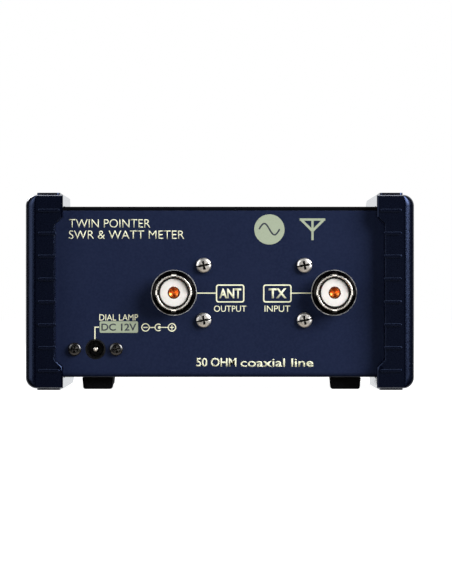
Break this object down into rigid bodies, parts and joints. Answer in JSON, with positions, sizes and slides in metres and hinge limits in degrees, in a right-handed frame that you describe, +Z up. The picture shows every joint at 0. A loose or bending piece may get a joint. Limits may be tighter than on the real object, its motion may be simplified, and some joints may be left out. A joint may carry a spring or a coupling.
{
  "type": "swr meter",
  "caption": "Bench SWR and power meter: a folded case between ribbed side bumpers, coaxial sockets at the back, crossed needles and a range knob in front.",
  "frame": {"origin": "on the surface that the feet stand on, under the middle of the object's box", "axes": "+Z up, +Y from the back panel with the sockets towards the front with the needles, +X to the right as seen from the back"},
  "size_m": [0.151, 0.112, 0.0767],
  "materials": {
    "navy_paint": "satin dark navy paint, fine orange peel",
    "cover_black": "satin black paint",
    "bumper_plastic": "fine-grained blue-black moulding, satin",
    "black_plastic": "black moulding, fine texture",
    "foot_rubber": "matte black rubber",
    "nickel": "bright nickel plate with a warm cast",
    "black_screw": "black oxide steel, slight sheen",
    "zinc_steel": "zinc-plated steel",
    "insulator_white": "off-white moulded insulator",
    "copper": "copper-gold contact metal",
    "brass": "brass sheet",
    "ferrite": "dark grey ferrite",
    "circuit_board": "green glass-fibre board",
    "housing_white": "white moulding",
    "dial_card": "matt cream printed dial",
    "clear_window": "clear moulded window",
    "needle_black": "matt black paint",
    "soft_iron": "plain soft iron",
    "lamp_glass": "clear lamp glass",
    "lead_sleeve": "red insulated lead"
  },
  "bodies": {
    "case": {"chassis": "navy_paint", "top_cover": "cover_black", "front_bezel": "black_plastic", "bumper_left": "bumper_plastic", "bumper_right": "bumper_plastic", "foot_back_left": "foot_rubber", "bumper_screw_back_left": "black_screw", "foot_back_right": "foot_rubber", "bumper_screw_back_right": "black_screw", "foot_front_left": "foot_rubber", "bumper_screw_front_left": "black_screw", "foot_front_right": "foot_rubber", "bumper_screw_front_right": "black_screw", "coupler_box": "zinc_steel", "coupler_lid": "zinc_steel", "line_conductor": "copper", "current_transformer": "ferrite", "detector_board": "circuit_board", "antenna_socket_shell": "nickel", "antenna_socket_insulator": "insulator_white", "antenna_socket_contact": "copper", "antenna_socket_nut": "zinc_steel", "transmitter_socket_shell": "nickel", "transmitter_socket_insulator": "insulator_white", "transmitter_socket_contact": "copper", "transmitter_socket_nut": "zinc_steel", "coupler_screw_low_left": "nickel", "coupler_screw_low_right": "nickel", "coupler_screw_high_left": "nickel", "coupler_screw_high_right": "nickel", "dc_jack_body": "black_plastic", "dc_jack_pin": "nickel", "dc_jack_screw_left": "black_screw", "dc_jack_screw_right": "black_screw", "meter_housing": "housing_white", "main_board": "circuit_board", "dial_plate": "dial_card", "meter_window": "clear_window", "lamp_holder": "black_plastic", "lamp": "lamp_glass", "forward_yoke": "soft_iron", "forward_bridge": "brass", "reflected_yoke": "soft_iron", "reflected_bridge": "brass", "range_switch": "black_plastic", "range_switch_nut": "nickel", "mode_switch": "black_plastic", "coupler_lead": "lead_sleeve", "lamp_lead": "lead_sleeve"},
    "forward_pointer": {"forward_needle": "needle_black", "forward_coil": "copper", "forward_hairspring": "brass"},
    "reflected_pointer": {"reflected_needle": "needle_black", "reflected_coil": "copper", "reflected_hairspring": "brass"},
    "forward_adjuster": {"forward_zero_adjuster": "black_plastic"},
    "reflected_adjuster": {"reflected_zero_adjuster": "black_plastic"},
    "range_dial": {"range_knob": "black_plastic", "range_shaft": "zinc_steel"},
    "mode_push": {"mode_button": "black_plastic"}
  },
  "joints": [
    {"name": "forward_swing", "type": "hinge", "parent": "case", "child": "forward_pointer", "pos_m": [-0.02259, 0.03185, 0.0175], "axis": [0, -1, 0], "range_deg": [0, 44], "stiffness_Nm_per_rad": 0.0001, "springref_deg": -11.46},
    {"name": "reflected_swing", "type": "hinge", "parent": "case", "child": "reflected_pointer", "pos_m": [0.04759, 0.03375, 0.0175], "axis": [0, 1, 0], "range_deg": [0, 44], "stiffness_Nm_per_rad": 0.0001, "springref_deg": -11.46},
    {"name": "forward_zero", "type": "hinge", "parent": "case", "child": "forward_adjuster", "pos_m": [-0.02259, 0.0445, 0.0175], "axis": [0, 1, 0], "range_deg": [-25, 25]},
    {"name": "reflected_zero", "type": "hinge", "parent": "case", "child": "reflected_adjuster", "pos_m": [0.04759, 0.0445, 0.0175], "axis": [0, 1, 0], "range_deg": [-25, 25]},
    {"name": "range_turn", "type": "hinge", "parent": "case", "child": "range_dial", "pos_m": [-0.0473, 0.045, 0.0485], "axis": [0, 1, 0], "range_deg": [-30, 30]},
    {"name": "mode_press", "type": "slide", "parent": "case", "child": "mode_push", "axis": [0, -1, 0], "range_m": [0, 0.0025], "stiffness_N_per_m": 300, "springref_m": -0.001}
  ]
}
